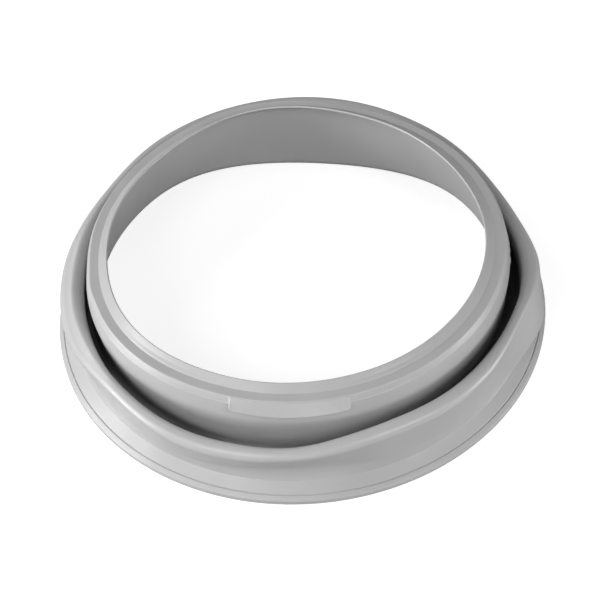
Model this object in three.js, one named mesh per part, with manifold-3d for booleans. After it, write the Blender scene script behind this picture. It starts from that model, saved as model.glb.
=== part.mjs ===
// Door seal of a front-loading washing machine: one moulded rubber ring.
// It lies on its large flange, as it would on a bench, with the drum opening facing up.
// Millimetres, +Z up. The origin is on the ring's axis, in the plane of the flange's foot.
// The tab of the rim points along -Y (six o'clock in the machine), and azimuths are degrees
// from +X, so that six o'clock is at 270 and twelve o'clock at 90.
import * as THREE from 'three';
import { mergeVertices } from 'three/addons/utils/BufferGeometryUtils.js';
import Module from 'manifold-3d';

// Rubber
const rubberColour = 0xc9c9c8;
const rubberRoughness = 0.42;

// Wall of the moulding
const wall = 3;                      // thickness of the bellows
const edgeRound = 0.7;               // small round on moulded edges
const cornerRound = 1.5;             // round inside the corner under the shelf

// Lip that closes round the glass, at the top
const lipRadius = 141.9;             // clear opening
const lipHeight = 77;                // top of the lip above the foot
const lipConeWidth = 6.7;            // outer cone of the lip
const lipTip = 1.6;                  // thickness at the tip
const lipNose = 0.7;                 // how far the tip's lower edge stands in
const shelfHeight = 72.5;            // flat shelf round the lip
const shelfWidth = 6.9;

// Rim round the shelf: a steep cone with a small ledge under it
const rimWidth = 4.5;
const rimDrop = 6.5;
const rimLedge = 0.7;

// The soft ring isn't quite round as it lies: at twelve o'clock its top is pushed out and up,
// between seven and eight o'clock it is pushed out, and near two o'clock the lip sags inwards
const topOut = 3;
const topUp = 2;
const topAzimuth = 104;
const topReach = 45;                 // degrees to each side
const sideOut = 2.5;
const sideAzimuth = 217;
const sideReach = 38;
const lipSag = 2.4;
const lipSagAzimuth = 30;
const lipSagReach = 40;

// Straight wall from the rim down into the fold
const wallRadius = 158.2;            // outer face
const foldBottom = 22.5;             // bottom of the fold above the foot
const foldGap = 10.2;                // clear width of the fold
const foldRoundShare = 0.41;         // round of the fold's bottom, as a share of its gap
const foldDrop = 17.5;               // how much lower the fold hangs at twelve o'clock
const foldDropAzimuth = 84;
const foldDropReach = 58;

// Crest of the bellows. It lies off the axis, a little oval, in three shallow lobes and in a wave.
const crestHeight = 57.6;
const crestWidth = 13;
const crestRound = 5.6;
const lean = 3.9;
const leanAzimuth = 255;
const oval = 2.1;
const ovalAzimuth = 101;
const lobe = 2.7;
const lobeAzimuth = 89;
const crestTilt = 1.4;
const crestTiltAzimuth = 92;
const crestWave = 2.6;
const crestWaveAzimuth = 104;

// Pocket of the crest at six o'clock, which bulges outwards and sits lower
const pocketOut = 7.2;
const pocketDown = 4;
const pocketFollow = 0.1;            // share of the bulge at the bottom of the fold
const pocketAzimuth = 258;
const pocketReach = 46;

// Fuller stretch of the crest at nine o'clock
const bulgeIn = 7.5;
const bulgeOut = 4;
const bulgeAzimuth = 193;
const bulgeReach = 36;
const bulgeRound = 0.3;              // how much rounder the fuller crest is

// Flank and large flange
const waistRadius = 176.4;           // where the flank is narrowest
const waistHeight = 21;
const waistFollow = 0.2;             // share of the crest's shift that the waist takes
const stepRadius = 177.6;            // edge where the flank meets the flange
const stepHeight = 10.9;
const grooveRadius = 186.5;          // fine groove round the flange
const grooveWidth = 0.8;
const grooveDepth = 0.8;
const flangeRadius = 190;            // outer edge
const flangeEdge = 3.8;              // height of the outer edge
const footWidth = 6;                 // flat ring that it lies on

// Tab on the rim at six o'clock
const tabLength = 84;
const tabHeight = 11.2;              // below the shelf
const tabProud = 1.4;                // how far it stands out from the rim's cone
const tabRound = 4;                  // lower corners
const tabEdge = 1;
const tabTopGap = 0.3;               // its top lies just under the shelf
const tabRoot = 1.5;                 // how deep it is rooted in the wall

// Fineness of the facets
const turnSteps = 96;
const smallArc = 1;
const middleArc = 3;
const largeArc = 4;
const tabArc = 4;
const weld = 1e-4;                   // vertices closer than this are one

// Outer edge of the shelf, slope of the rim's cone, and upper face of the flange
const shelfEdge = lipRadius + lipConeWidth + shelfWidth;
const rimSlope = rimWidth / rimDrop;
const flangeSlope = (stepHeight - flangeEdge) / (flangeRadius - stepRadius);
const flangeTop = (radius) => stepHeight - flangeSlope * (radius - stepRadius);

const rad = THREE.MathUtils.degToRad;

// Smooth hump of height 1 round an azimuth, zero past its reach
function hump(azimuth, centre, reach) {
  const away = Math.abs(((azimuth - centre + 540) % 360) - 180);
  return away < reach ? Math.cos((away / reach) * Math.PI / 2) ** 2 : 0;
}

// Wave of height 1 round the ring, with its first top at the centre
function wave(azimuth, centre, lobes) {
  return Math.cos(rad(lobes * (azimuth - centre)));
}

// Corners of the section at an azimuth in degrees, as [radius, height, round, arc steps].
// Both lists run from the lip to the foot; the outline goes out along the hidden side and
// comes back along the upper side.
function sectionCorners(azimuth) {
  const top = hump(azimuth, topAzimuth, topReach);
  const out = topOut * top + sideOut * hump(azimuth, sideAzimuth, sideReach);
  const up = topUp * top;
  const lip = lipRadius + out - lipSag * hump(azimuth, lipSagAzimuth, lipSagReach);
  const coneFoot = lipRadius + lipConeWidth + out;
  const shelf = shelfHeight + up;
  const rimFoot = shelf - rimDrop;
  const wallTop = wallRadius + out;

  const fold = foldBottom - foldDrop * hump(azimuth, foldDropAzimuth, foldDropReach);
  const foldRound = foldRoundShare * foldGap;

  const pocket = hump(azimuth, pocketAzimuth, pocketReach);
  const bulge = hump(azimuth, bulgeAzimuth, bulgeReach);
  const shift = lean * wave(azimuth, leanAzimuth, 1) + oval * wave(azimuth, ovalAzimuth, 2)
    + lobe * wave(azimuth, lobeAzimuth, 3) + pocketOut * pocket;
  const rise = crestTilt * wave(azimuth, crestTiltAzimuth, 1) + crestWave * wave(azimuth, crestWaveAzimuth, 2);
  const crestTop = crestHeight + rise - pocketDown * pocket;
  const legFoot = wallRadius + foldGap + pocketFollow * pocketOut * pocket;
  const legTop = wallRadius + foldGap + shift - bulgeIn * bulge;
  const crestOuter = wallRadius + foldGap + crestWidth + shift + bulgeOut * bulge;
  const crestArc = crestRound + bulgeRound * (bulgeIn + bulgeOut) * bulge;
  const waist = waistRadius + waistFollow * shift;

  const upper = [
    [lip, lipHeight + up, edgeRound, smallArc],
    [coneFoot, shelf, 0, 0],
    [shelfEdge + out, shelf, edgeRound, smallArc],
    [shelfEdge + rimWidth + out, rimFoot, 0, 0],
    [wallTop, rimFoot - rimLedge, 0, 0],
    [wallRadius, fold, foldRound, middleArc],
    [legFoot, fold, foldRound, middleArc],
    [legTop, crestTop, crestArc, largeArc],
    [crestOuter, crestTop, crestArc, largeArc],
    [waist, waistHeight, 0, 0],
    [stepRadius, stepHeight, 0, 0],
    [grooveRadius - grooveWidth, flangeTop(grooveRadius - grooveWidth), 0, 0],
    [grooveRadius - grooveWidth / 2, flangeTop(grooveRadius) - grooveDepth, 0, 0],
    [grooveRadius, flangeTop(grooveRadius), 0, 0],
    [flangeRadius, flangeEdge, edgeRound, smallArc],
    [flangeRadius, 0, 0, 0],
  ];
  const footInner = flangeRadius - footWidth;
  const hidden = [
    [lip - lipNose, lipHeight + up - lipTip, 0, 0],
    [coneFoot, shelf - wall, 0, 0],
    [wallTop - wall, shelf - wall, cornerRound, smallArc],
    [wallRadius - wall, fold - wall, foldRound + wall, middleArc],
    [legFoot + wall, fold - wall, foldRound + wall, middleArc],
    [legTop + wall, crestTop - wall, crestArc - wall, middleArc],
    [crestOuter - wall, crestTop - wall, crestArc - wall, middleArc],
    [waist - wall, waistHeight, 0, 0],
    [stepRadius - wall, stepHeight - wall, 0, 0],
    [footInner - wall, flangeTop(footInner - wall) - wall, 0, 0],
    [footInner, 0, 0, 0],
  ];
  return hidden.concat(upper.reverse());
}

// Closed outline whose corners carry tangent arcs
function roundedOutline(corners) {
  const points = [];
  corners.forEach(([r, z, round, steps], i) => {
    const here = new THREE.Vector2(r, z);
    if (steps === 0) {
      points.push(here);
      return;
    }
    const [beforeR, beforeZ] = corners.at(i - 1);
    const [afterR, afterZ] = corners[(i + 1) % corners.length];
    const toBefore = new THREE.Vector2(beforeR, beforeZ).sub(here).normalize();
    const toAfter = new THREE.Vector2(afterR, afterZ).sub(here).normalize();
    const half = Math.acos(toBefore.dot(toAfter)) / 2;
    const reach = round / Math.tan(half);
    const start = here.clone().addScaledVector(toBefore, reach);
    const middle = toBefore.clone().add(toAfter).setLength(round / Math.sin(half)).add(here);
    const startAngle = Math.atan2(start.y - middle.y, start.x - middle.x);
    const turn = Math.PI - 2 * half;
    const side = -Math.sign(toBefore.cross(toAfter));
    for (let k = 0; k <= steps; k += 1) {
      const angle = startAngle + side * turn * (k / steps);
      points.push(new THREE.Vector2(middle.x + round * Math.cos(angle), middle.y + round * Math.sin(angle)));
    }
  });
  return points;
}

// Ring turned from the section, whose section follows the azimuth
function sealRing() {
  const profile = roundedOutline(sectionCorners(0));
  profile.push(profile[0].clone());
  const ring = new THREE.LatheGeometry(profile, turnSteps);
  const position = ring.attributes.position;
  for (let i = 0; i <= turnSteps; i += 1) {
    const azimuth = (360 * (i % turnSteps)) / turnSteps;
    const section = roundedOutline(sectionCorners(azimuth));
    for (let j = 0; j < profile.length; j += 1) {
      const point = section[j % section.length];
      const x = point.x * Math.cos(rad(azimuth));
      const y = point.x * Math.sin(rad(azimuth));
      position.setXYZ(i * profile.length + j, x, y, point.y);
    }
  }
  return ring;
}

// Tab: a ring of its own section, cut to a plate with round lower corners
function tabRing() {
  const top = shelfHeight - tabTopGap;
  const low = shelfHeight - tabHeight;
  const outerTop = shelfEdge + tabProud + rimSlope * tabTopGap;
  const outer = outerTop + rimSlope * (tabHeight - tabTopGap);
  const root = wallRadius - tabRoot;
  const profile = [
    [root, low],
    [outer - tabEdge, low],
    [outer, low + tabEdge],
    [outerTop, top],
    [shelfEdge - tabRoot, top],
    [root, shelfHeight - wall],
  ].map(([r, z]) => new THREE.Vector2(r, z));
  profile.push(profile[0].clone());
  const ring = new THREE.LatheGeometry(profile, turnSteps);
  ring.rotateX(Math.PI / 2);
  return { ring, top, low, outer };
}

function tabPlate({ top, low, outer }) {
  const half = tabLength / 2;
  const shape = new THREE.Shape();
  shape.moveTo(-half, top + tabEdge);
  shape.lineTo(-half, low + tabRound);
  shape.absarc(-half + tabRound, low + tabRound, tabRound, Math.PI, 1.5 * Math.PI);
  shape.lineTo(half - tabRound, low);
  shape.absarc(half - tabRound, low + tabRound, tabRound, 1.5 * Math.PI, 2 * Math.PI);
  shape.lineTo(half, top + tabEdge);
  shape.closePath();
  const plate = new THREE.ExtrudeGeometry(shape, { depth: outer, bevelEnabled: false, curveSegments: tabArc });
  plate.rotateX(Math.PI / 2);
  return plate;
}

const wasm = await Module();
wasm.setup();

function toSolid(geometry) {
  const plain = geometry.clone();
  plain.deleteAttribute('normal');
  plain.deleteAttribute('uv');
  const merged = mergeVertices(plain, weld);
  return new wasm.Manifold(new wasm.Mesh({
    numProp: 3,
    vertProperties: new Float32Array(merged.attributes.position.array),
    triVerts: new Uint32Array(merged.index.array),
  }));
}

function toGeometry(solid) {
  const mesh = solid.getMesh();
  const geometry = new THREE.BufferGeometry();
  geometry.setAttribute('position', new THREE.BufferAttribute(mesh.vertProperties, 3));
  geometry.setIndex(new THREE.BufferAttribute(mesh.triVerts, 1));
  geometry.computeVertexNormals();
  return geometry;
}

const tab = tabRing();
const tabSolid = toSolid(tab.ring).intersect(toSolid(tabPlate(tab)));
const sealSolid = toSolid(sealRing()).add(tabSolid);

const rubber = new THREE.MeshStandardMaterial({
  color: rubberColour,
  roughness: rubberRoughness,
  metalness: 0,
});
const doorSeal = new THREE.Mesh(toGeometry(sealSolid), rubber);
doorSeal.name = 'door_seal';

const model = new THREE.Group();
model.add(doorSeal);

export default model;
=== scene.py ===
"""Looks of a washing machine door seal: one moulded ring of satin grey rubber on a white bench."""
import math
from collections import namedtuple

import bmesh
import bpy
from mathutils import Matrix, Vector, noise


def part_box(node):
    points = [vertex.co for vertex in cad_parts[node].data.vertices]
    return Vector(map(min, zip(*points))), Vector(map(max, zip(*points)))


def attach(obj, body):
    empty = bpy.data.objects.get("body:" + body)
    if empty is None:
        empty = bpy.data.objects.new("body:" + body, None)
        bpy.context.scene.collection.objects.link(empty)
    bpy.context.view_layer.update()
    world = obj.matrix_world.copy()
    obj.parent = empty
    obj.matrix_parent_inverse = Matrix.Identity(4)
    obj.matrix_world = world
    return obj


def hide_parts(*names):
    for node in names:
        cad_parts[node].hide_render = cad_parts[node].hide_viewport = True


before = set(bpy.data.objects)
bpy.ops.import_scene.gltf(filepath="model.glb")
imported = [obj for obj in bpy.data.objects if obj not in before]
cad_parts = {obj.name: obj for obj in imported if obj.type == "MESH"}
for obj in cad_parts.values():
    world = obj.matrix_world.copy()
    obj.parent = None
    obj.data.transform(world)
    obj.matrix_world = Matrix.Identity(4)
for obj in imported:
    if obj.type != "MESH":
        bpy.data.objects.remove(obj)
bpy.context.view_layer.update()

# Sizes are millimetres in the shape functions, and a finished mesh is brought to metres.
# Azimuths are degrees from +X: six o'clock, where the tab is, is 270, and twelve o'clock is 90.
METRE = 0.001
_, seal_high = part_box("door_seal")
FLANGE_RADIUS = seal_high[0] / METRE
SEAL_TOP = seal_high[2] / METRE

# Wall of the moulding, and the rounds of its small corners
WALL = 3.0
EDGE_ROUND = 0.7
CORNER_ROUND = 1.5
BEND_ROUND = 0.5
FINE_ROUND = 0.2
SHARP_ROUND = 0.1

# The soft ring isn't quite round as it lies: at twelve o'clock its top is pushed out and up,
# between seven and eight o'clock it is pushed out, near two o'clock the lip sags inwards,
# and at twelve o'clock the lip is open a little wider
TOP_OUT = 3.0
TOP_UP = 2.0
TOP_AZIMUTH = 104
TOP_REACH = 45
SIDE_OUT = 2.5
SIDE_AZIMUTH = 217
SIDE_REACH = 38
LIP_SAG = 2.4
LIP_SAG_AZIMUTH = 30
LIP_SAG_REACH = 40
LIP_OPEN = 2.0
LIP_OPEN_AZIMUTH = 105
LIP_OPEN_REACH = 36

# Lip, with a crease across its cone on both sides of the tab. Its corner stands above its rounded tip.
TIP_ROUNDING = 0.33
LIP_RADIUS = 141.9
LIP_HEIGHT = SEAL_TOP - TOP_UP + TIP_ROUNDING
LIP_CONE_WIDTH = 6.7
LIP_TIP = 1.6
LIP_NOSE = 0.7
NOSE_ROUND = 0.4
CREASE_DEPTH = 0.35
CREASE_AT = 0.64
CREASE_WIDTH = 0.1
CREASE_AZIMUTHS = (230, 300)
CREASE_REACH = 24

# Flat shelf round the lip, with a bead on its outer edge at twelve o'clock
SHELF_HEIGHT = 72.5
SHELF_WIDTH = 6.9
BEAD_WIDTH = 1.4
BEAD_HEIGHT = 0.3
BEAD_AZIMUTH = 95
BEAD_REACH = 80

# Rim: a round edge and a steep cone down to the mould's parting line, then a wall that flares a little,
# with a fine line of flash on both sides of the tab and nicks at three o'clock
RIM_ROUND = 1.3
RIM_SLOPE = 0.55
PARTING_DROP = 4.4
PARTING_DEPTH = 0.4
PARTING_WIDTH = 0.5
FLASH = 0.3
FLASH_DROP = 3.2
FLASH_WIDTH = 0.35
FLASH_AZIMUTHS = (235, 320)
FLASH_REACH = 32
FLARE = 2.1
FLARE_DROP = 16.5
FLARE_ROUND = 20.0
NICK = 0.7
NICK_AZIMUTHS = (356.4, 359.8, 2.2, 4.6)
NICK_REACH = 0.9

# Dents of the rim's edge: azimuth, reach, and how far it goes outwards
RIM_DENTS = (
    (76, 24, -0.9),
    (110, 14, 0.9),
    (197, 8, 0.9),
)

# Straight wall, and the fold, which is deeper at twelve o'clock
WALL_RADIUS = 158.2
FOLD_BOTTOM = 22.5
FOLD_GAP = 10.2
FOLD_ROUND_SHARE = 0.41
FOLD_DROP = 17.5
FOLD_DROP_AZIMUTH = 84
FOLD_DROP_REACH = 58

# Crest of the bellows. It lies off the axis, a little oval, in three shallow lobes and in a wave.
CREST_HEIGHT = 57.6
CREST_WIDTH = 13.0
CREST_ROUND = 5.6
CREST_FALL = 1.5
LEAN = 3.9
LEAN_AZIMUTH = 255
OVAL = 2.1
OVAL_AZIMUTH = 101
LOBE = 2.7
LOBE_AZIMUTH = 89
CREST_TILT = 1.4
CREST_TILT_AZIMUTH = 92
CREST_WAVE = 2.6
CREST_WAVE_AZIMUTH = 104

# Pocket of the crest at six o'clock, and its fuller stretch at nine o'clock, whose top falls outwards
# and is rounder: its outer round grows by a share of its extra width, and both by the same amount
POCKET_OUT = 7.2
POCKET_DOWN = 4.0
POCKET_FOLLOW = 0.1
POCKET_AZIMUTH = 258
POCKET_REACH = 46
BULGE_IN = 7.5
BULGE_OUT = 4.6
BULGE_AZIMUTH = 193
BULGE_REACH = 36
BULGE_ROUND = 0.3
BULGE_FALL = 8.0
BULGE_SOFT = 2.0

# Flank and large flange
WAIST_RADIUS = 176.4
WAIST_HEIGHT = 21.0
WAIST_ROUND = 22.0
WAIST_FOLLOW = 0.2
STEP_RADIUS = 177.6
STEP_HEIGHT = 10.9
STEP_ROUND = 0.6
GROOVE_RADIUS = 186.5
GROOVE_WIDTH = 1.1
GROOVE_DEPTH = 0.9
GROOVE_ROUND = 0.25
FLANGE_EDGE = 3.8
FLANGE_ROUND = 0.9
FOOT_WIDTH = 6.0
FOOT_ROUND = 0.4

# The crest's dents and bulges: azimuth, reach, and how far the inner and the outer side go outwards
CREST_DENTS = (
    (356, 20, 2.8, 3.3),
    (25, 26, -0.5, -3.4),
    (155, 26, -2.0, -4.5),
    (178, 20, -0.9, 0.0),
    (222, 33, 0.0, -4.8),
    (228, 14, -0.9, 0.0),
    (270, 15, 2.5, 0.7),
    (292, 20, -1.2, -2.2),
    (322, 26, -2.4, -3.4),
    (338, 22, 0.0, -5.0),
)
DENT_SHARE = 0.45

# Dents of the waist, which the flank follows: azimuth, reach, and how far it goes outwards
WAIST_DENTS = (
    (238, 20, 1.5),
    (272, 24, -4.0),
    (296, 20, 1.5),
    (325, 26, 2.5),
)

# Between three and four o'clock the flank has slumped outwards over the flange. The waist's round is
# tighter there, and its wall is thicker by a share of the slump.
SLUMP_OUT = 13.0
SLUMP_AZIMUTH = 349
SLUMP_REACH = 24
SLUMP_TIGHTER = 16.0
SLUMP_THICKER = 0.35

# Tab on the rim
TAB_AZIMUTH = 270
TAB_LENGTH = 84.0
TAB_HEIGHT = 10.4
TAB_PROUD = 1.3
TAB_LEAN = 5.2
TAB_ROUND = 2.6
TAB_EDGE = 1.2
TAB_TOP_GAP = 0.4
TAB_ROOT = 2.8
TAB_END_RISE = 2.2
TAB_BENDS = 56
NEAR = 0.001

# How uneven the soft rubber is, in millimetres, how many waves that has, and its own row of the noise
LIP_UNEVEN = 0.25
LIP_WAVES = 2.2
LIP_ROW = 0
RIM_UNEVEN = 0.2
RIM_WAVES = 3.1
RIM_ROW = 1
CREST_UNEVEN = 0.5
CREST_WAVES = 1.9
CREST_ROW = 2

# Fineness of the mesh
TURN_STEPS = 500
FINE_ARC = 2
SMALL_ARC = 4
MIDDLE_ARC = 8
LARGE_ARC = 12
INSIDE_CUTS = 4
WALL_CUTS = 6
LEG_CUTS = 5
FLANK_CUTS = 5

# How deep in the fold each point is, which sets the painted shade that darkens the rubber's colour
# there.
# The painted shade begins high up the wall between seven and eight o'clock, is light at the tab, and
# ends a little above the flare.
PAINTED_SHADE_LAYER = "painted_fold_shade"
PAINTED_SHADE_HIGH = 0.75
PAINTED_SHADE_HIGH_AZIMUTH = 215
PAINTED_SHADE_HIGH_REACH = 22
PAINTED_SHADE_LIGHT = 0.3
PAINTED_SHADE_LIGHT_AZIMUTH = 268
PAINTED_SHADE_LIGHT_REACH = 34
PAINTED_SHADE_END = 2.0

SHELF_EDGE = LIP_RADIUS + LIP_CONE_WIDTH + SHELF_WIDTH
FLANGE_SLOPE = (STEP_HEIGHT - FLANGE_EDGE) / (FLANGE_RADIUS - STEP_RADIUS)

# A corner of the section: its round and arc steps, how deep it is in the fold from 0 to 1 for the
# painted shade, and how many points the straight stretch after it gets (the upper side is walked from
# the flange inwards)
Corner = namedtuple("Corner", "radius height round steps depth cuts", defaults=(0, 0, 0, 0))


def hump(azimuth, centre, reach):
    """Smooth hump of height 1 round an azimuth, zero past its reach."""
    away = abs((azimuth - centre + 540) % 360 - 180)
    return math.cos(away / reach * math.pi / 2) ** 2 if away < reach else 0.0


def humps(azimuth, centres, reach):
    """Sum of equal humps."""
    return sum(hump(azimuth, centre, reach) for centre in centres)


def wave(azimuth, centre, lobes=1):
    """Wave of height 1 round the ring, with its first top at the centre."""
    return math.cos(math.radians(lobes * (azimuth - centre)))


def uneven(azimuth, waves, row):
    """Soft unevenness between -1 and 1 that closes on itself round the ring; each row differs."""
    angle = math.radians(azimuth)
    return noise.noise(Vector((waves * math.cos(angle), waves * math.sin(angle), row)))


def between(start, end, share, proud=0.0):
    """Place on the line between two (radius, height) places, raised by a little."""
    radius = start[0] + share * (end[0] - start[0])
    height = start[1] + share * (end[1] - start[1]) + proud
    return radius, height


def top_corners(azimuth):
    """Lip, shelf and rim: the upper side and the hidden side."""
    top = hump(azimuth, TOP_AZIMUTH, TOP_REACH)
    out = TOP_OUT * top + SIDE_OUT * hump(azimuth, SIDE_AZIMUTH, SIDE_REACH)
    up = TOP_UP * top
    lip_shift = LIP_UNEVEN * uneven(azimuth, LIP_WAVES, LIP_ROW)
    lip_shift += LIP_OPEN * hump(azimuth, LIP_OPEN_AZIMUTH, LIP_OPEN_REACH)
    lip_shift -= LIP_SAG * hump(azimuth, LIP_SAG_AZIMUTH, LIP_SAG_REACH)
    rim_shift = RIM_UNEVEN * uneven(azimuth, RIM_WAVES, RIM_ROW)
    rim_shift += sum(outward * hump(azimuth, centre, reach) for centre, reach, outward in RIM_DENTS)
    crease = CREASE_DEPTH * humps(azimuth, CREASE_AZIMUTHS, CREASE_REACH)
    flash = FLASH * humps(azimuth, FLASH_AZIMUTHS, FLASH_REACH)
    nick = NICK * humps(azimuth, NICK_AZIMUTHS, NICK_REACH)

    tip = (LIP_RADIUS + out + lip_shift, LIP_HEIGHT + up)
    shelf = SHELF_HEIGHT + up
    cone_foot = (LIP_RADIUS + LIP_CONE_WIDTH + out, shelf)
    shelf_edge = SHELF_EDGE + out + rim_shift
    bead = BEAD_HEIGHT * hump(azimuth, BEAD_AZIMUTH, BEAD_REACH)
    parting = (shelf_edge + RIM_SLOPE * PARTING_DROP, shelf - PARTING_DROP)
    above_parting = (parting[0] - RIM_SLOPE * PARTING_WIDTH, parting[1] + PARTING_WIDTH)
    flare = (WALL_RADIUS + FLARE + out + nick, shelf - FLARE_DROP)
    # Painted shade of the fold starts on the flare, strongest between seven and eight o'clock
    flare_painted_shade = PAINTED_SHADE_HIGH * hump(azimuth, PAINTED_SHADE_HIGH_AZIMUTH, PAINTED_SHADE_HIGH_REACH)
    below = FLASH_DROP / (FLARE_DROP - PARTING_DROP)
    flash_step = FLASH_WIDTH / (FLARE_DROP - PARTING_DROP)
    upper = [
        Corner(*tip, EDGE_ROUND, SMALL_ARC),
        Corner(*between(tip, cone_foot, CREASE_AT - CREASE_WIDTH)),
        Corner(*between(tip, cone_foot, CREASE_AT, -crease)),
        Corner(*between(tip, cone_foot, CREASE_AT + CREASE_WIDTH, crease / 2)),
        Corner(*cone_foot, BEND_ROUND, FINE_ARC),
        Corner(shelf_edge - BEAD_WIDTH, shelf),
        Corner(shelf_edge, shelf + bead, RIM_ROUND, MIDDLE_ARC),
        Corner(*above_parting, FINE_ROUND, FINE_ARC),
        Corner(parting[0] - PARTING_DEPTH, parting[1], SHARP_ROUND, FINE_ARC),
        Corner(*between(parting, flare, PARTING_WIDTH / FLARE_DROP), FINE_ROUND, FINE_ARC),
        Corner(*between(parting, flare, below - flash_step)),
        Corner(*between(parting, flare, below, flash)),
        Corner(*between(parting, flare, below + flash_step)),
        Corner(*flare, FLARE_ROUND, SMALL_ARC, flare_painted_shade),
    ]
    hidden = [
        Corner(tip[0] - LIP_NOSE, tip[1] - LIP_TIP, NOSE_ROUND, FINE_ARC),
        Corner(cone_foot[0], cone_foot[1] - WALL, BEND_ROUND, FINE_ARC),
        Corner(WALL_RADIUS - WALL + out, shelf - WALL, CORNER_ROUND, SMALL_ARC, cuts=INSIDE_CUTS),
    ]
    return upper, hidden


def bellows_corners(azimuth):
    """Fold, crest and flank: the upper side and the hidden side."""
    pocket = hump(azimuth, POCKET_AZIMUTH, POCKET_REACH)
    bulge = hump(azimuth, BULGE_AZIMUTH, BULGE_REACH)
    fold = FOLD_BOTTOM - FOLD_DROP * hump(azimuth, FOLD_DROP_AZIMUTH, FOLD_DROP_REACH)
    fold_round = FOLD_ROUND_SHARE * FOLD_GAP
    # Painted shade at the fold's bottom: full, and lighter at the tab
    depth = 1 - PAINTED_SHADE_LIGHT * hump(azimuth, PAINTED_SHADE_LIGHT_AZIMUTH, PAINTED_SHADE_LIGHT_REACH)

    shift = LEAN * wave(azimuth, LEAN_AZIMUTH) + OVAL * wave(azimuth, OVAL_AZIMUTH, 2)
    shift += LOBE * wave(azimuth, LOBE_AZIMUTH, 3) + POCKET_OUT * pocket
    shift += CREST_UNEVEN * uneven(azimuth, CREST_WAVES, CREST_ROW)
    rise = CREST_TILT * wave(azimuth, CREST_TILT_AZIMUTH)
    rise += CREST_WAVE * wave(azimuth, CREST_WAVE_AZIMUTH, 2)
    crest = CREST_HEIGHT + rise - POCKET_DOWN * pocket
    leg_foot = WALL_RADIUS + FOLD_GAP + POCKET_FOLLOW * POCKET_OUT * pocket
    dent_in = sum(inner * hump(azimuth, centre, reach) for centre, reach, inner, _ in CREST_DENTS)
    dent_out = sum(outer * hump(azimuth, centre, reach) for centre, reach, _, outer in CREST_DENTS)
    leg = WALL_RADIUS + FOLD_GAP + shift - BULGE_IN * bulge + dent_in
    outer = WALL_RADIUS + FOLD_GAP + CREST_WIDTH + shift + BULGE_OUT * bulge + dent_out
    inner_arc = CREST_ROUND + BULGE_SOFT * bulge + DENT_SHARE * min(dent_out - dent_in, 0)
    outer_arc = inner_arc + BULGE_ROUND * (BULGE_IN + BULGE_OUT) * bulge
    outer_top = crest - CREST_FALL - BULGE_FALL * bulge
    waist = WAIST_RADIUS + WAIST_FOLLOW * shift
    waist += sum(outward * hump(azimuth, centre, reach) for centre, reach, outward in WAIST_DENTS)
    slump = hump(azimuth, SLUMP_AZIMUTH, SLUMP_REACH)
    waist += SLUMP_OUT * slump
    waist_round = WAIST_ROUND - SLUMP_TIGHTER * slump
    waist_wall = WALL + SLUMP_THICKER * SLUMP_OUT * slump
    upper = [
        Corner(WALL_RADIUS, fold, fold_round, MIDDLE_ARC, depth, cuts=WALL_CUTS),
        Corner(leg_foot, fold, fold_round, MIDDLE_ARC, depth),
        Corner(leg, crest, inner_arc, LARGE_ARC, cuts=LEG_CUTS),
        Corner(outer, outer_top, outer_arc, LARGE_ARC),
        Corner(waist, WAIST_HEIGHT, waist_round, MIDDLE_ARC, cuts=FLANK_CUTS),
    ]
    hidden = [
        Corner(WALL_RADIUS - WALL, fold - WALL, fold_round + WALL, MIDDLE_ARC),
        Corner(leg_foot + WALL, fold - WALL, fold_round + WALL, MIDDLE_ARC),
        Corner(leg + WALL, crest - WALL, inner_arc - WALL, MIDDLE_ARC),
        Corner(outer - WALL, outer_top - WALL, outer_arc - WALL, MIDDLE_ARC),
        Corner(waist - waist_wall, WAIST_HEIGHT, waist_round, SMALL_ARC),
    ]
    return upper, hidden


def flange_top(radius):
    """Place on the flange's upper face."""
    return radius, STEP_HEIGHT - FLANGE_SLOPE * (radius - STEP_RADIUS)


def flange_corners():
    """Large flange: the upper side and the hidden side."""
    groove_floor = flange_top(GROOVE_RADIUS)[1] - GROOVE_DEPTH
    foot_inner = FLANGE_RADIUS - FOOT_WIDTH
    toe_radius, toe_top = flange_top(foot_inner - WALL)
    upper = [
        Corner(STEP_RADIUS, STEP_HEIGHT, STEP_ROUND, SMALL_ARC),
        Corner(*flange_top(GROOVE_RADIUS - GROOVE_WIDTH), GROOVE_ROUND, FINE_ARC),
        Corner(GROOVE_RADIUS - GROOVE_WIDTH / 2, groove_floor, FINE_ROUND, FINE_ARC),
        Corner(*flange_top(GROOVE_RADIUS), GROOVE_ROUND, FINE_ARC),
        Corner(FLANGE_RADIUS, FLANGE_EDGE, FLANGE_ROUND, SMALL_ARC),
        Corner(FLANGE_RADIUS, 0, FOOT_ROUND, FINE_ARC),
    ]
    hidden = [
        Corner(STEP_RADIUS - WALL, STEP_HEIGHT - WALL, STEP_ROUND, FINE_ARC),
        Corner(toe_radius, toe_top - WALL, STEP_ROUND, FINE_ARC),
        Corner(foot_inner, 0, FOOT_ROUND, FINE_ARC),
    ]
    return upper, hidden


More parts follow.
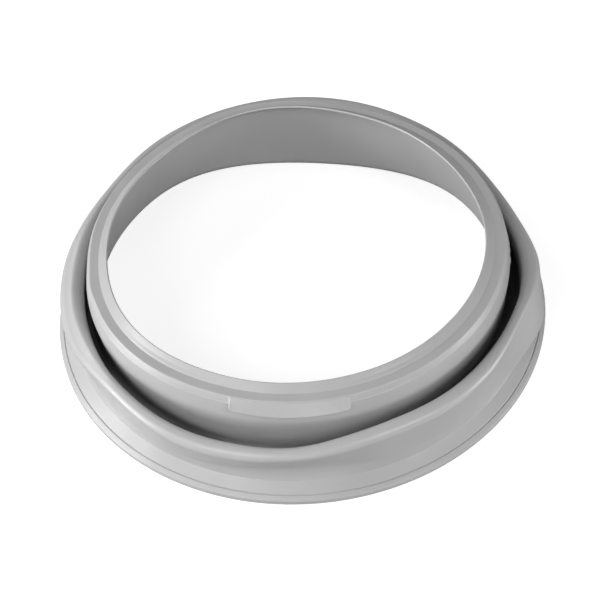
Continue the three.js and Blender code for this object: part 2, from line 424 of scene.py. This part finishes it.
def rounded_outline(corners):
    """Points of a closed outline whose corners carry tangent arcs, each with its fold depth for the
    painted shade.
    """
    bends = []
    for i, corner in enumerate(corners):
        here = Vector((corner.radius, corner.height))
        if corner.steps == 0:
            bends.append([here])
            continue
        to_before = (Vector(corners[i - 1][:2]) - here).normalized()
        to_after = (Vector(corners[(i + 1) % len(corners)][:2]) - here).normalized()
        half = to_before.angle(to_after) / 2
        start = here + to_before * (corner.round / math.tan(half))
        middle = here + (to_before + to_after).normalized() * (corner.round / math.sin(half))
        start_angle = math.atan2(start.y - middle.y, start.x - middle.x)
        turn = math.copysign(math.pi - 2 * half, -to_before.cross(to_after))
        angles = [start_angle + turn * step / corner.steps for step in range(corner.steps + 1)]
        bends.append([middle + Vector((math.cos(a), math.sin(a))) * corner.round for a in angles])
    points = []
    for i, corner in enumerate(corners):
        following = (i + 1) % len(corners)
        points += [(point, corner.depth) for point in bends[i]]
        for cut in range(1, corner.cuts + 1):
            share = cut / (corner.cuts + 1)
            depth = corner.depth + share * (corners[following].depth - corner.depth)
            points.append((bends[i][-1].lerp(bends[following][0], share), depth))
    return points


def section(azimuth):
    """Closed section of the ring: outwards along the hidden side, and back along the upper side."""
    top, under_top = top_corners(azimuth)
    bellows, under_bellows = bellows_corners(azimuth)
    flange, under_flange = flange_corners()
    upper = top + bellows + flange
    return rounded_outline(under_top + under_bellows + under_flange + upper[::-1])


def seal_ring():
    """The ring: its section spun round the axis, then each turn set to the section at its azimuth."""
    shape = bmesh.new()
    place = shape.verts.layers.int.new("place")
    # Each point's depth in the fold, which sets the painted shade in the rubber's colour
    fold_shade_layer = shape.verts.layers.float.new(PAINTED_SHADE_LAYER)
    profile = []
    for index, (point, _) in enumerate(section(0)):
        vert = shape.verts.new((point.x, 0, point.y))
        vert[place] = index
        profile.append(vert)
    for index, vert in enumerate(profile):
        shape.edges.new((profile[index - 1], vert))
    bmesh.ops.spin(
        shape, geom=shape.verts[:] + shape.edges[:], cent=(0, 0, 0), axis=(0, 0, 1),
        angle=2 * math.pi, steps=TURN_STEPS, use_merge=True,
    )
    sections = [section(360 * step / TURN_STEPS) for step in range(TURN_STEPS)]
    for vert in shape.verts:
        step = round(math.atan2(vert.co.y, vert.co.x) / (2 * math.pi) * TURN_STEPS) % TURN_STEPS
        angle = 2 * math.pi * step / TURN_STEPS
        point, vert[fold_shade_layer] = sections[step][vert[place]]
        vert.co = (point.x * math.cos(angle), point.x * math.sin(angle), point.y)
    shape.verts.layers.int.remove(place)
    bmesh.ops.recalc_face_normals(shape, faces=shape.faces)
    return shape


def tab_plate():
    """The tab: a block with round lower corners, sloped like the rim and bent round the axis."""
    top = SHELF_HEIGHT - TAB_TOP_GAP
    height = TAB_HEIGHT - TAB_TOP_GAP
    depth = TAB_PROUD + TAB_LEAN
    root = WALL_RADIUS - TAB_ROOT
    shape = bmesh.new()
    shape.verts.layers.float.new(PAINTED_SHADE_LAYER)
    bmesh.ops.create_cube(shape, size=1)
    bmesh.ops.scale(shape, vec=(TAB_LENGTH, depth, height), verts=shape.verts)
    bmesh.ops.translate(shape, vec=(0, -depth / 2, top - height / 2), verts=shape.verts)

    low_ends = [
        edge for edge in shape.edges
        if all(vert.co.z < top - height / 2 for vert in edge.verts)
        and abs(edge.verts[0].co.x - edge.verts[1].co.x) < NEAR
    ]
    bmesh.ops.bevel(
        shape, geom=low_ends, affect="EDGES",
        offset=TAB_ROUND, segments=MIDDLE_ARC, profile=0.5, material=-1,
    )
    front_edges = [
        edge for edge in shape.edges
        if all(vert.co.y < NEAR - depth for vert in edge.verts)
        and not all(vert.co.z > top - NEAR for vert in edge.verts)
    ]
    bmesh.ops.bevel(
        shape, geom=front_edges, affect="EDGES",
        offset=TAB_EDGE, segments=SMALL_ARC, profile=0.5, material=-1,
    )
    for bend in range(1, TAB_BENDS):
        cut = TAB_LENGTH * (bend / TAB_BENDS - 0.5)
        everything = shape.verts[:] + shape.edges[:] + shape.faces[:]
        bmesh.ops.bisect_plane(
            shape, geom=everything, dist=NEAR / 10, plane_co=(cut, 0, 0), plane_no=(1, 0, 0),
        )
    for vert in shape.verts:
        below = top - vert.co.z
        face = SHELF_EDGE + TAB_PROUD + TAB_LEAN * math.sin(below / height * math.pi / 2)
        radius = root - vert.co.y / depth * (face - root)
        angle = math.radians(TAB_AZIMUTH) + vert.co.x / WALL_RADIUS
        rise = TAB_END_RISE * (2 * vert.co.x / TAB_LENGTH) ** 2 * below / height
        vert.co = (radius * math.cos(angle), radius * math.sin(angle), vert.co.z + rise)
    bmesh.ops.recalc_face_normals(shape, faces=shape.faces)
    return shape


def finished(shape, name, material):
    """Turns a bmesh in millimetres into an object in metres."""
    bmesh.ops.scale(shape, vec=(METRE, METRE, METRE), verts=shape.verts)
    mesh = bpy.data.meshes.new(name)
    shape.to_mesh(mesh)
    shape.free()
    mesh.materials.append(material)
    mesh.shade_smooth()
    piece = bpy.data.objects.new(name, mesh)
    bpy.context.scene.collection.objects.link(piece)
    return piece


def join_to(body, addition):
    """Makes the addition one moulding with the body; above the fold, nothing gets the painted shade."""
    union = body.modifiers.new("join", "BOOLEAN")
    union.operation = "UNION"
    union.solver = "EXACT"
    union.object = addition
    joined = body.evaluated_get(bpy.context.evaluated_depsgraph_get())
    body.data = bpy.data.meshes.new_from_object(joined)
    body.modifiers.clear()
    bpy.data.objects.remove(addition)
    # The painted shade is cleared above the flare
    depths = body.data.attributes[PAINTED_SHADE_LAYER].data
    for vert, depth in zip(body.data.vertices, depths):
        if vert.co.z > (SHELF_HEIGHT - FLARE_DROP + PAINTED_SHADE_END) * METRE:
            depth.value = 0


def even_shading(piece):
    """Keeps flat faces flat beside their small rounds."""
    piece.modifiers.new("even_shading", "WEIGHTED_NORMAL").mode = "FACE_AREA"


# Satin grey rubber, and how uneven it is
RUBBER_GREY = 0.42
SHADE_RANGE = (0.97, 1.03)
GLOSS_RANGE = (0.30, 0.38)
# Painted shade deep in the fold: the colour darkens smoothly to this share, from this fold depth on
PAINTED_FOLD_SHADE = 0.4
PAINTED_FOLD_SHADE_START = 0.65
RIPPLE_HEIGHT = 0.0003
GRAIN_HEIGHT = 0.00004

# Noises: waves per metre, and detail; and the middle stretch of a noise's values, which is used
SHADE_NOISE = (22, 3)
GLOSS_NOISE = (60, 4)
RIPPLE_NOISE = (45, 1)
GRAIN_NOISE = (1400, 2)
NOISE_MIDDLE = (0.3, 0.7)


def node(tree, kind, **inputs):
    """A new node of a tree, with its named sockets set."""
    made = tree.nodes.new(kind)
    for name, value in inputs.items():
        made.inputs[name.replace("_", " ")].default_value = value
    return made


def soft_noise(tree, place, scale, detail):
    """Noise in the seal's own coordinates."""
    pattern = node(tree, "ShaderNodeTexNoise", Scale=scale, Detail=detail)
    tree.links.new(place.outputs["Object"], pattern.inputs["Vector"])
    return pattern.outputs["Fac"]


def spread(tree, value, low, high):
    """Maps the middle of a noise to the range from low to high."""
    dark, light = NOISE_MIDDLE
    step = node(tree, "ShaderNodeMapRange", From_Min=dark, From_Max=light, To_Min=low, To_Max=high)
    tree.links.new(value, step.inputs["Value"])
    return step.outputs["Result"]


def rubber():
    """Satin light grey rubber: a little uneven in tone and gloss, finely grained, with painted shade in
    the fold.
    """
    material = bpy.data.materials.new("seal_rubber")
    material.use_nodes = True
    tree = material.node_tree
    shader = tree.nodes["Principled BSDF"]
    place = tree.nodes.new("ShaderNodeTexCoord")

    shade = spread(tree, soft_noise(tree, place, *SHADE_NOISE), *SHADE_RANGE)
    # Painted shade: the base colour is darkened deep in the fold, standing in for the shade that falls
    # there
    depth = tree.nodes.new("ShaderNodeAttribute")
    depth.attribute_name = PAINTED_SHADE_LAYER
    fold = node(tree, "ShaderNodeMapRange", From_Min=PAINTED_FOLD_SHADE_START, To_Min=1.0, To_Max=PAINTED_FOLD_SHADE)
    fold.interpolation_type = "SMOOTHSTEP"
    tree.links.new(depth.outputs["Fac"], fold.inputs["Value"])
    both = tree.nodes.new("ShaderNodeMath")
    both.operation = "MULTIPLY"
    tree.links.new(shade, both.inputs[0])
    tree.links.new(fold.outputs["Result"], both.inputs[1])
    colour = tree.nodes.new("ShaderNodeVectorMath")
    colour.operation = "SCALE"
    colour.inputs[0].default_value = (RUBBER_GREY, RUBBER_GREY, RUBBER_GREY)
    tree.links.new(both.outputs["Value"], colour.inputs["Scale"])
    tree.links.new(colour.outputs["Vector"], shader.inputs["Base Color"])

    gloss = spread(tree, soft_noise(tree, place, *GLOSS_NOISE), *GLOSS_RANGE)
    tree.links.new(gloss, shader.inputs["Roughness"])

    ripple = node(tree, "ShaderNodeBump", Strength=1.0, Distance=RIPPLE_HEIGHT)
    tree.links.new(soft_noise(tree, place, *RIPPLE_NOISE), ripple.inputs["Height"])
    grain = node(tree, "ShaderNodeBump", Strength=1.0, Distance=GRAIN_HEIGHT)
    tree.links.new(soft_noise(tree, place, *GRAIN_NOISE), grain.inputs["Height"])
    tree.links.new(ripple.outputs["Normal"], grain.inputs["Normal"])
    tree.links.new(grain.outputs["Normal"], shader.inputs["Normal"])
    return material


# White bench and surround, and soft boxes round them: azimuth and rise in degrees, and power
SOFT_BOXES = {
    "left_low": (195, 8, 33),
    "left_high": (185, 32, 20),
    "front_low": (278, 8, 9),
    "front_left": (240, 42, 13),
    "front_right": (312, 36, 17),
    "right_low": (355, 8, 24),
    "back_left": (146, 42, 13),
}
SOFT_BOX_DISTANCE = 2.2
SOFT_BOX_SIZE = 0.8
WORLD_LIGHT = 0.02
BENCH_SIZE = 3.0
BENCH_GREY = 0.35
BENCH_ROUGHNESS = 0.9
BENCH_GLOW = 0.82


def soft_box(name, azimuth, rise, power):
    """A square soft light that looks at the seal."""
    data = bpy.data.lights.new(name, "AREA")
    data.size = SOFT_BOX_SIZE
    data.energy = power
    light = bpy.data.objects.new(name, data)
    flat = SOFT_BOX_DISTANCE * math.cos(math.radians(rise))
    light.location = (
        flat * math.cos(math.radians(azimuth)),
        flat * math.sin(math.radians(azimuth)),
        SOFT_BOX_DISTANCE * math.sin(math.radians(rise)),
    )
    light.rotation_euler = (-light.location).to_track_quat("-Z", "Y").to_euler()
    bpy.context.scene.collection.objects.link(light)


def white_bench():
    """A plain white bench top, which the camera sees as white and which keeps the seal's shadow."""
    material = bpy.data.materials.new("bench_white")
    material.use_nodes = True
    tree = material.node_tree
    surface = tree.nodes["Principled BSDF"]
    surface.inputs["Base Color"].default_value = (BENCH_GREY, BENCH_GREY, BENCH_GREY, 1)
    surface.inputs["Roughness"].default_value = BENCH_ROUGHNESS
    rays = tree.nodes.new("ShaderNodeLightPath")
    glow = node(tree, "ShaderNodeEmission", Color=(BENCH_GLOW, BENCH_GLOW, BENCH_GLOW, 1))
    both = tree.nodes.new("ShaderNodeAddShader")
    tree.links.new(rays.outputs["Is Camera Ray"], glow.inputs["Strength"])
    tree.links.new(surface.outputs["BSDF"], both.inputs[0])
    tree.links.new(glow.outputs["Emission"], both.inputs[1])
    tree.links.new(both.outputs["Shader"], tree.nodes["Material Output"].inputs["Surface"])
    bench = bmesh.new()
    bmesh.ops.create_grid(bench, x_segments=1, y_segments=1, size=BENCH_SIZE / METRE)
    finished(bench, "bench", material)


# Camera, at the photograph's angle
CAMERA_DISTANCE = 1.15
CAMERA_RISE = math.radians(47.92)
CAMERA_AZIMUTH = math.radians(275.0)
CAMERA_ROLL = math.radians(-4.56)
CAMERA_LENS = 87.6
PICTURE_SIDE = 600
AXIS_IN_PICTURE = (301.2, 303.1)


def photograph_camera():
    """A camera that looks at the ring's axis, which the shift puts where the photograph has it."""
    data = bpy.data.cameras.new("camera")
    data.lens = CAMERA_LENS
    data.shift_x = (PICTURE_SIDE / 2 - AXIS_IN_PICTURE[0]) / PICTURE_SIDE
    data.shift_y = (AXIS_IN_PICTURE[1] - PICTURE_SIDE / 2) / PICTURE_SIDE
    camera = bpy.data.objects.new("camera", data)
    flat = CAMERA_DISTANCE * math.cos(CAMERA_RISE)
    camera.location = (
        flat * math.cos(CAMERA_AZIMUTH),
        flat * math.sin(CAMERA_AZIMUTH),
        CAMERA_DISTANCE * math.sin(CAMERA_RISE),
    )
    look = (-camera.location).to_track_quat("-Z", "Y").to_matrix()
    camera.rotation_euler = (look @ Matrix.Rotation(CAMERA_ROLL, 3, "Z")).to_euler()
    bpy.context.scene.collection.objects.link(camera)
    bpy.context.scene.camera = camera


def white_world():
    """A white surround, which the camera sees as white and which gives the seal only a little light."""
    world = bpy.data.worlds.new("studio")
    world.use_nodes = True
    tree = world.node_tree
    faint = tree.nodes["Background"]
    faint.inputs["Color"].default_value = (1, 1, 1, 1)
    faint.inputs["Strength"].default_value = WORLD_LIGHT
    seen = node(tree, "ShaderNodeBackground", Color=(1, 1, 1, 1), Strength=1.0)
    rays = tree.nodes.new("ShaderNodeLightPath")
    either = tree.nodes.new("ShaderNodeMixShader")
    tree.links.new(rays.outputs["Is Camera Ray"], either.inputs["Fac"])
    tree.links.new(faint.outputs["Background"], either.inputs[1])
    tree.links.new(seen.outputs["Background"], either.inputs[2])
    tree.links.new(either.outputs["Shader"], tree.nodes["World Output"].inputs["Surface"])
    bpy.context.scene.world = world


def studio():
    """Plain soft light over a white bench."""
    white_world()
    for name, (azimuth, rise, power) in SOFT_BOXES.items():
        soft_box(name, azimuth, rise, power)
    white_bench()
    bpy.context.scene.view_settings.view_transform = "Standard"


photograph_camera()
studio()

seal_rubber = rubber()
seal = finished(seal_ring(), "seal", seal_rubber)
join_to(seal, finished(tab_plate(), "tab", seal_rubber))
even_shading(seal)
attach(seal, "root")
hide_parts("door_seal")
